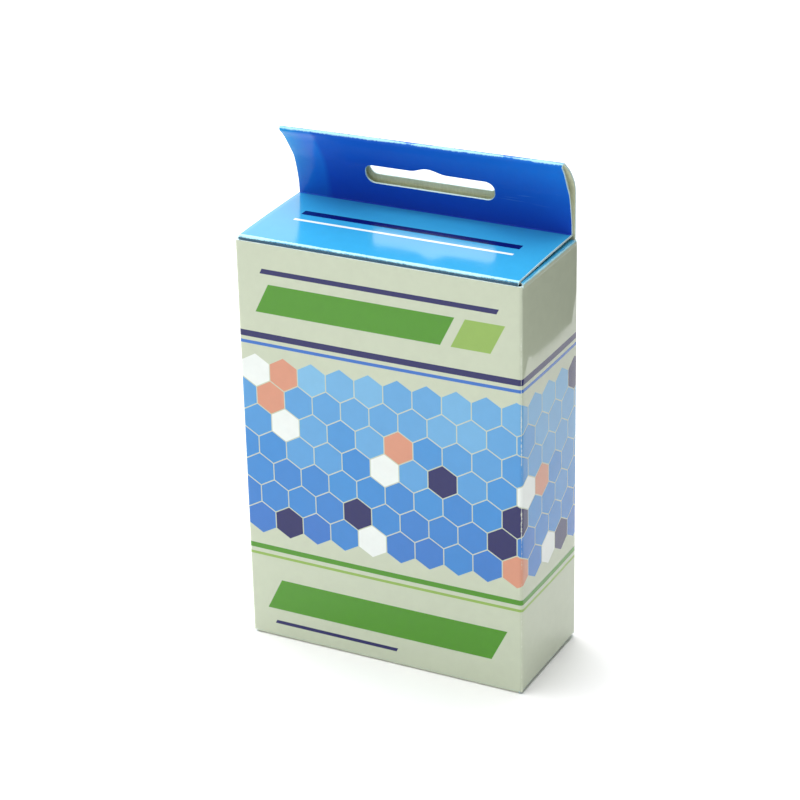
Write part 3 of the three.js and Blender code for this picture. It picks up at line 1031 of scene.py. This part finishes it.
def makeSleeve():
    r = fold["radius"]
    x, y = halfWidth - board / 2, halfDepth - board / 2
    glueY = halfDepth - board - sleeve["glueInset"]
    step = sleeve["spacing"]
    corner = (halfWidth - r, halfDepth - r)
    path, ends = joined(
        straight((-halfWidth + sleeve["glueWidth"], glueY - board / 2),
                 (-corner[0], glueY - board / 2), step),
        arcPoints((-corner[0], glueY - r), midRadius, 90, 180),
        straight((-x, glueY - r), (-x, -corner[1]), step),
        arcPoints((-corner[0], -corner[1]), midRadius, 180, 270),
        straight((-corner[0], -y), (corner[0], -y), step),
        arcPoints((corner[0], -corner[1]), midRadius, 270, 360),
        straight((x, -corner[1]), (x, corner[1]), step),
        arcPoints(corner, midRadius, 0, 90),
        straight((corner[0], y), (-halfWidth + 0.1 * mm, y), step),
    )
    glueEnd, leftStart, leftEnd, frontStart, frontEnd, rightStart, rightEnd, backStart, backEnd = ends
    obj = foldSheet("cartonSleeve", [(*p, 0) for p in path], (0, 0, 1), sleeve["rows"], panelPrint)
    mesh = obj.data
    s, share = readValues(mesh, "along"), readValues(mesh, "share")

    # Where each panel starts and ends, upwards
    sideTop = height - r - sleeve["flapStart"]
    frontTop = height - sleeve["frontTop"]
    sideLow = sleeve["sideFoot"] + r
    turn = (frontStart - leftEnd) / 4
    tops = [
        (0, height - r), (glueEnd, height - r), (leftStart - turn, height - r), (leftStart, sideTop),
        (leftEnd, sideTop), (leftEnd + turn, frontTop), (frontStart, frontTop), (frontEnd, frontTop),
        (rightStart - turn, frontTop), (rightStart, sideTop), (rightEnd, sideTop),
        (rightEnd + turn, height - r), (backStart, height), (backEnd, height),
    ]
    lows = [
        (0, r), (leftStart - turn, r), (leftStart, sideLow),
        (leftEnd, sideLow), (leftEnd + turn, board), (frontStart - turn, board),
        (frontStart, r), (frontEnd, r), (frontEnd + turn, board),
        (rightStart - turn, board), (rightStart, sideLow), (rightEnd, sideLow),
        (rightEnd + turn, r), (backEnd, r),
    ]
    top = np.interp(s, *zip(*tops))
    low = np.interp(s, *zip(*lows))
    eased = 0.5 - 0.5 * np.cos(np.pi * share)  # closer rows at both ends
    points = readPoints(mesh)
    points[:, 2] = low + (top - low) * eased

    # Each panel bows out a little between its folds
    panels = (
        ("left", leftStart, leftEnd, (-1, 0)), ("front", frontStart, frontEnd, (0, -1)),
        ("right", rightStart, rightEnd, (1, 0)), ("back", backStart, backEnd, (0, 1)),
    )
    for name, start, end, out in panels:
        inside = np.clip((s - start) / (end - start), 0, 1)
        push = sleeve["bow"][name] * np.sin(np.pi * inside) * np.sin(np.pi * eased)
        points[:, 0] += push * out[0]
        points[:, 1] += push * out[1]
    writePoints(mesh, points)

    z = points[:, 2]
    uprights = [(a + b) / 2 for a, b in ((glueEnd, leftStart), (leftEnd, frontStart),
                                         (frontEnd, rightStart), (rightEnd, backStart))]
    folds = np.min([abs(s - at) for at in uprights], axis=0)
    onFront = (s > leftEnd) & (s < rightStart)
    onSide = ((s > leftStart) & (s < leftEnd)) | ((s > rightStart) & (s < rightEnd))
    folds = np.where(onFront, np.minimum(folds, z), folds)
    folds = np.where(onSide, np.minimum(folds, height - z), folds)
    edge = np.where(onFront, frontTop - z, 1.0)
    edge = np.minimum(edge, np.where(s > backStart, backEnd - s, 1.0))
    storeVector(mesh, "blank", s - uprights[1], z)
    storeVector(mesh, "wear", folds, edge)

    # The side panels turn in at the foot, above the closed bottom end
    lips = []
    for name, side, angles, start, end, panelFront in (
            ("rightLip", 1, (0, -90), -corner[1], corner[1], rightStart),
            ("leftLip", -1, (180, 270), glueY - r, -corner[1], leftEnd)):
        turnIn = arcPoints((side * (halfWidth - r), sideLow), midRadius, *angles)
        inner = (turnIn[-1][0] - side * sleeve["lip"], turnIn[-1][1])
        run, _ = joined(turnIn, straight(turnIn[-1], inner, 1 * mm))
        lip = foldSheet(name, [(px, start, pz) for px, pz in run], (0, end - start, 0), 12, panelPrint)
        spots = readPoints(lip.data)
        atSide = panelFront + side * (spots[:, 1] + corner[1]) - uprights[1]
        storeVector(lip.data, "blank", atSide, spots[:, 2])
        storeVector(lip.data, "wear", 1.0, 1.0)
        lips.append(lip)
    mergeInto(obj, lips)
    giveThickness(obj, [panelPrint, bareBoard, cutEdge])
    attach(obj, "carton")
    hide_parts("front_panel", "right_side_panel", "left_side_panel", "back_panel", "glue_flap")
    report(f"sleeve, {len(obj.data.polygons)} faces")
    return obj


# The closed bottom end: the front panel turned under, with a fold at the rear

bottom = {"rearInset": 1.0 * mm, "spacing": 2.5 * mm, "sideInset": 0.9 * mm}


def makeBottom():
    r = fold["radius"]
    rear = halfDepth - bottom["rearInset"]
    path, ends = joined(
        arcPoints((-halfDepth + r, r), midRadius, 180, 270),
        straight((-halfDepth + r, board / 2), (rear, board / 2), bottom["spacing"]),
        arcPoints((rear, r), midRadius, 270, 335),
    )
    half = halfWidth - bottom["sideInset"]
    obj = foldSheet("bottomEnd", [(-half, *p) for p in path], (2 * half, 0, 0), 30, panelPrint)
    points = readPoints(obj.data)
    along = readValues(obj.data, "along")
    storeVector(obj.data, "blank", points[:, 0] + halfWidth, -along)
    storeVector(obj.data, "wear", abs(along - ends[0] / 2), half - abs(points[:, 0]))
    giveThickness(obj, [panelPrint, bareBoard, cutEdge])
    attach(obj, "carton")
    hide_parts("bottom_panel")
    report("bottom end")
    return obj


# The dust flaps: each starts at the top of its side panel and turns in over the fold

dust = {
    "length": 24 * mm,
    "spacing": 1.6 * mm,
    "rows": 22,
    # front and rear margins to the carton's faces, by the distance past the fold
    "front": ((0, 0.8), (0.9, 1.5), (1.6, 1.8), (13, 5.2), (24, 5.2)),
    "rear": ((0, 0.8), (0.9, 1.2), (1.6, 1.4), (24, 2.9)),
}


def makeDustFlap(side):
    r = fold["radius"]
    name = "rightDustFlap" if side > 0 else "leftDustFlap"
    x = halfWidth - board / 2
    start = (x, height - r - sleeve["flapStart"])
    turnIn = arcPoints((halfWidth - r, height - r), midRadius, 0, 90)
    path, ends = joined(
        straight(start, turnIn[0], sleeve["flapStart"]), turnIn,
        straight(turnIn[-1], (halfWidth - r - dust["length"], height - board / 2), dust["spacing"]),
    )
    obj = foldSheet(name, [(side * px, side, pz) for px, pz in path],
                    (0, -2 * side, 0), dust["rows"], flapPrint)
    mesh = obj.data
    points = readPoints(mesh)
    along, share = readValues(mesh, "along"), readValues(mesh, "share")
    past = (along - ends[0]) / mm
    front = -halfDepth + mm * np.interp(past, *zip(*dust["front"]))
    rear = halfDepth - mm * np.interp(past, *zip(*dust["rear"]))
    forward = share if side > 0 else 1 - share
    points[:, 1] = rear + (front - rear) * forward
    writePoints(mesh, points)
    free = path[-1][0]
    foldAt = (ends[0] + ends[1]) / 2
    edge = np.minimum(points[:, 1] - front, rear - points[:, 1])
    edge = np.minimum(edge, abs(points[:, 0]) - free)
    edge = np.where(past < 0.9, 1.0, edge)
    storeVector(mesh, "blank", points[:, 1], along - foldAt + 0.12 * mm)
    storeVector(mesh, "wear", abs(along - foldAt), edge)
    giveThickness(obj, [flapPrint, bareBoard, cutEdge])
    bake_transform(obj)
    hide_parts("right_dust_flap" if side > 0 else "left_dust_flap")
    report(name)
    return obj


# The tuck flap: it carries on from the lid's front fold, creases back and hangs inside the front

tuckFlapSize = {
    "length": 12 * mm,
    "inset": 3.8 * mm,
    "corner": 8 * mm,
    "lean": 17,
    "noseEnd": 168,  # degrees, where the fold passes to the crease
    "creaseDrop": 0.42 * mm,  # under the hinge
    "kneeDrop": 0.1 * mm,
    "rows": 40,
}


def makeTuckFlap():
    at = hinge["tuck_hinge"]
    centre = (at.y, at.z)
    nose = arcPoints(centre, midRadius, tab["noseEnd"], tuckFlapSize["noseEnd"], 2)
    lean = math.radians(tuckFlapSize["lean"])
    down = np.array([math.sin(lean), -math.cos(lean)])
    # It crosses back under the fold before it hangs straight
    crease = np.array([-halfDepth + 1.5 * board + 0.1 * mm, at.z - tuckFlapSize["creaseDrop"]])
    knee = [nose[-1], (nose[-1][0] + 0.09 * mm, at.z - tuckFlapSize["kneeDrop"]), tuple(crease)]
    bend = throughPoints([*knee, tuple(crease + down * 0.8 * mm)], 9)
    tip = tuple(crease + down * tuckFlapSize["length"])
    path, ends = joined(nose, bend, straight(bend[-1], tip, 0.7 * mm))
    obj = foldSheet("tuckFlap", [(-1, *p) for p in path], (2, 0, 0), tuckFlapSize["rows"], flapPrint)
    mesh = obj.data
    points = readPoints(mesh)
    along, share = readValues(mesh, "along"), readValues(mesh, "share")
    total = along.max()
    hanging = along - ends[0]
    full = halfWidth - tuckFlapSize["inset"]
    half = np.interp(hanging, [0, 0.5 * mm, 1.4 * mm], [lidHalf, lidHalf - 0.3 * mm, full])
    # Its free corners are round
    corner = tuckFlapSize["corner"]
    left = np.clip(along - (total - corner), 0, corner)
    half = half - (corner - np.sqrt(np.maximum(corner ** 2 - left ** 2, 0)))
    points[:, 0] = half * (2 * share - 1)
    writePoints(mesh, points)
    storeVector(mesh, "blank", points[:, 0], along + flapDesign["crease"])
    storeVector(mesh, "wear", 1.0, np.minimum(half - abs(points[:, 0]), total - along))
    giveThickness(obj, [flapPrint, bareBoard, cutEdge])
    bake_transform(obj)
    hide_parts("tuck_flap")
    report("tuck flap")
    return obj


# Crease beads: scoring raises a small bead of board inside each upright fold

beads = {"radius": 0.22 * mm, "sides": 10, "foot": 1.6 * mm, "head": 2.0 * mm, "offset": 0.1 * mm}


def makeBeads():
    r = fold["radius"]
    inset = r - beads["offset"]
    spots = [(sx * (halfWidth - inset), sy * (halfDepth - inset), beads["foot"])
             for sx, sy in ((-1, -1), (1, -1), (1, 1))]
    mesh = bpy.data.meshes.new("creaseBeads")
    mesh.from_pydata(spots, [], [])
    obj = addObject("creaseBeads", mesh)
    length = height - beads["foot"] - beads["head"]
    runTree(obj, beadTree, {"Length": length, "Radius": beads["radius"], "Sides": beads["sides"],
                            "Material": bareBoard})
    obj.data.shade_smooth()
    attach(obj, "carton")
    report("crease beads")
    return obj


# Floor, lights and camera

stage = {
    "floorSize": 6.0,
    "floor": colour(247, 247, 247),
    "world": 0.42,
    "keyPower": 36.0,
    "keySize": 1.9,
    "keyFrom": (-0.35, 0.05, 1.3),
    "fillPower": 0.4,
    "fillFrom": (-0.5, -1.2, 0.6),
    "backPower": 9.0,
    "backSize": 1.7,
    "backFrom": (-0.75, 1.45, 0.62),
    "cardNear": (0.140, 0.08),  # x and y: the floor ends here in the reflection on the right side
    "cardFar": (0.0635, 0.33),
    "cardFront": (0.157, 0.01),  # it turns here, towards the front
    "cardTall": 0.35,
    "card": colour(16, 18, 15),
}


def makeStage():
    half = stage["floorSize"] / 2
    mesh = bpy.data.meshes.new("floor")
    corners = [(-half, -half, 0), (half, -half, 0), (half, half, 0), (-half, half, 0)]
    mesh.from_pydata(corners, [], [(0, 1, 2, 3)])
    floor = addObject("floor", mesh)
    material, tree, shader = newMaterial("paleFloor")
    shader.inputs["Base Color"].default_value = stage["floor"]
    shader.inputs["Roughness"].default_value = 0.9
    mesh.materials.append(material)

    world = bpy.data.worlds.new("studio")
    world.use_nodes = True
    world.node_tree.nodes["Background"].inputs["Color"].default_value = (1, 1, 1, 1)
    world.node_tree.nodes["Background"].inputs["Strength"].default_value = stage["world"]
    bpy.context.scene.world = world

    middle = Vector((0, 0, height / 2))
    for name, place, power, size in (
            ("key", stage["keyFrom"], stage["keyPower"], stage["keySize"]),
            ("fill", stage["fillFrom"], stage["fillPower"], stage["keySize"]),
            ("back", stage["backFrom"], stage["backPower"], stage["backSize"])):
        light = bpy.data.lights.new(name, "AREA")
        light.energy = power
        light.size = size
        lamp = bpy.data.objects.new(name, light)
        lamp.location = place
        lamp.rotation_euler = (middle - Vector(place)).to_track_quat("-Z", "Y").to_euler()
        lamp.visible_camera = False
        bpy.context.scene.collection.objects.link(lamp)

    # A dark card beside the carton, which the camera doesn't see, as the room past the table
    near, far, tall = stage["cardNear"], stage["cardFar"], stage["cardTall"]
    mesh = bpy.data.meshes.new("greyCard")
    line = [stage["cardFront"], near, far]
    corners = [(*spot, z) for z in (0, tall) for spot in line]
    mesh.from_pydata(corners, [], [(3, 4, 1, 0), (4, 5, 2, 1)])
    card = addObject("greyCard", mesh)
    material, tree, shader = newMaterial("greyCard")
    shader.inputs["Base Color"].default_value = stage["card"]
    mesh.materials.append(material)
    card.visible_camera = card.visible_shadow = False


view = {
    "azimuth": 27.41,
    "elevation": 24.62,
    "roll": -1.3,
    "distance": 0.5988,
    "across": 2.246 * mm,  # how far the picture's middle lies from the carton's
    "up": -9.652 * mm,
    "lens": 117.79,
}


def makeCamera():
    a, e, roll = (math.radians(view[key]) for key in ("azimuth", "elevation", "roll"))
    back = Vector((math.sin(a) * math.cos(e), -math.cos(a) * math.cos(e), math.sin(e)))
    level = Vector((math.cos(a), math.sin(a), 0))
    rise = back.cross(level)
    right = level * math.cos(roll) + rise * math.sin(roll)
    up = rise * math.cos(roll) - level * math.sin(roll)
    camera = bpy.data.objects.new("camera", bpy.data.cameras.new("camera"))
    camera.data.lens = view["lens"]
    camera.data.sensor_width = 36
    camera.data.clip_start = 0.01
    camera.data.clip_end = 20
    middle = Vector((0, 0, height / 2))
    camera.location = middle + back * view["distance"] - right * view["across"] - up * view["up"]
    camera.rotation_euler = Matrix((right, up, back)).transposed().to_euler()
    bpy.context.scene.collection.objects.link(camera)
    bpy.context.scene.camera = camera


makeCamera()
panelPrint = panelPrintMaterial(panelDesign)
flapPrint = flapPrintMaterial()
bareBoard = bareBoardMaterial()
cutEdge = cutEdgeMaterial()
report("materials")
makeSleeve()
makeBottom()
makeTabAndLid()
for side in (1, -1):
    makeDustFlap(side)
makeTuckFlap()
makeBeads()
makeStage()
bpy.context.scene.view_settings.view_transform = "Standard"
